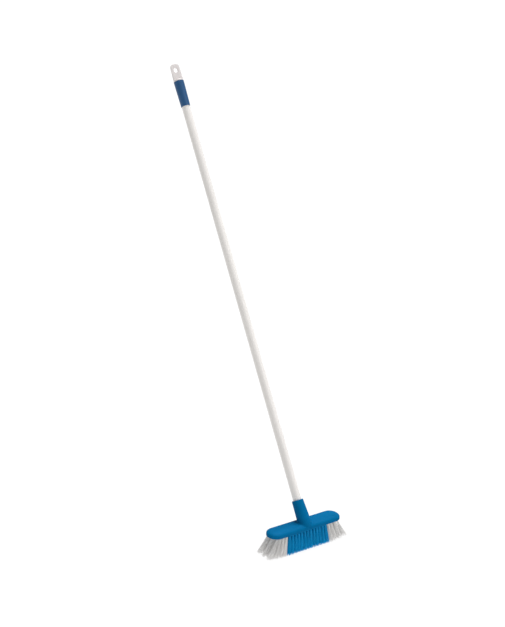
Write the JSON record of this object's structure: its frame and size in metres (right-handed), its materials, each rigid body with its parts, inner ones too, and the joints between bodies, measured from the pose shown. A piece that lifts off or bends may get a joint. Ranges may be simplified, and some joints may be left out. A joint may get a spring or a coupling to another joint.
{
  "type": "long-handled wall brush",
  "caption": "Long-handled wall and deck brush: bar-shaped head with a leaning threaded socket, splayed bristle tufts, screw-in tube handle, grip sleeve and swivel hanging tab.",
  "frame": {"origin": "centre of the footprint of the bristle tips, on the flat tip of the middle tuft", "axes": "+Z out of the head's top, square to the tips' plane; +X along the head, to the right seen from the front; the handle leans back towards +Y by 30 degrees from +Z"},
  "size_m": [0.2512, 0.6438, 1.1275],
  "materials": {
    "head_plastic": "moulded polypropylene, light satin grain",
    "centre_bristles": "extruded synthetic monofilament, blue",
    "end_bristles": "extruded synthetic monofilament, white",
    "tube_coating": "thin steel tube with a smooth bonded plastic coat, satin off-white",
    "insert_plastic": "moulded plastic, matte",
    "grip_plastic": "moulded plastic, satin",
    "hanger_plastic": "moulded plastic, satin off-white"
  },
  "bodies": {
    "head": {"head_block": "head_plastic", "blue_tuft_1_3": "centre_bristles", "blue_tuft_1_4": "centre_bristles", "blue_tuft_1_5": "centre_bristles", "blue_tuft_1_6": "centre_bristles", "blue_tuft_1_7": "centre_bristles", "blue_tuft_1_8": "centre_bristles", "blue_tuft_1_9": "centre_bristles", "blue_tuft_2_3": "centre_bristles", "blue_tuft_2_4": "centre_bristles", "blue_tuft_2_5": "centre_bristles", "blue_tuft_2_6": "centre_bristles", "blue_tuft_2_7": "centre_bristles", "blue_tuft_2_8": "centre_bristles", "blue_tuft_3_3": "centre_bristles", "blue_tuft_3_4": "centre_bristles", "blue_tuft_3_5": "centre_bristles", "blue_tuft_3_6": "centre_bristles", "blue_tuft_3_7": "centre_bristles", "blue_tuft_3_8": "centre_bristles", "blue_tuft_3_9": "centre_bristles", "blue_tuft_4_3": "centre_bristles", "blue_tuft_4_4": "centre_bristles", "blue_tuft_4_5": "centre_bristles", "blue_tuft_4_6": "centre_bristles", "blue_tuft_4_7": "centre_bristles", "blue_tuft_4_8": "centre_bristles", "blue_tuft_5_3": "centre_bristles", "blue_tuft_5_4": "centre_bristles", "blue_tuft_5_5": "centre_bristles", "blue_tuft_5_6": "centre_bristles", "blue_tuft_5_7": "centre_bristles", "blue_tuft_5_8": "centre_bristles", "blue_tuft_5_9": "centre_bristles", "white_tuft_1_1": "end_bristles", "white_tuft_1_10": "end_bristles", "white_tuft_1_11": "end_bristles", "white_tuft_1_2": "end_bristles", "white_tuft_2_1": "end_bristles", "white_tuft_2_10": "end_bristles", "white_tuft_2_2": "end_bristles", "white_tuft_2_9": "end_bristles", "white_tuft_3_1": "end_bristles", "white_tuft_3_10": "end_bristles", "white_tuft_3_11": "end_bristles", "white_tuft_3_2": "end_bristles", "white_tuft_4_1": "end_bristles", "white_tuft_4_10": "end_bristles", "white_tuft_4_2": "end_bristles", "white_tuft_4_9": "end_bristles", "white_tuft_5_1": "end_bristles", "white_tuft_5_10": "end_bristles", "white_tuft_5_11": "end_bristles", "white_tuft_5_2": "end_bristles"},
    "hanger": {"hanger": "hanger_plastic"},
    "handle": {"handle_tube": "tube_coating", "thread_insert": "insert_plastic", "grip_sleeve": "grip_plastic"}
  },
  "joints": [
    {"name": "handle_rise", "type": "slide", "parent": "head", "child": "hanger", "axis": [0, 0.5, 0.866], "range_m": [0, 0.028]},
    {"name": "handle_screw", "type": "hinge", "parent": "hanger", "child": "handle", "pos_m": [0, 0.572, 1.05573], "axis": [0, 0.5, 0.866], "range_deg": [0, 2016]}
  ],
  "couplings": [
    {"joint": "handle_screw", "follows": "handle_rise", "rad_per_m": 1256.6}
  ]
}
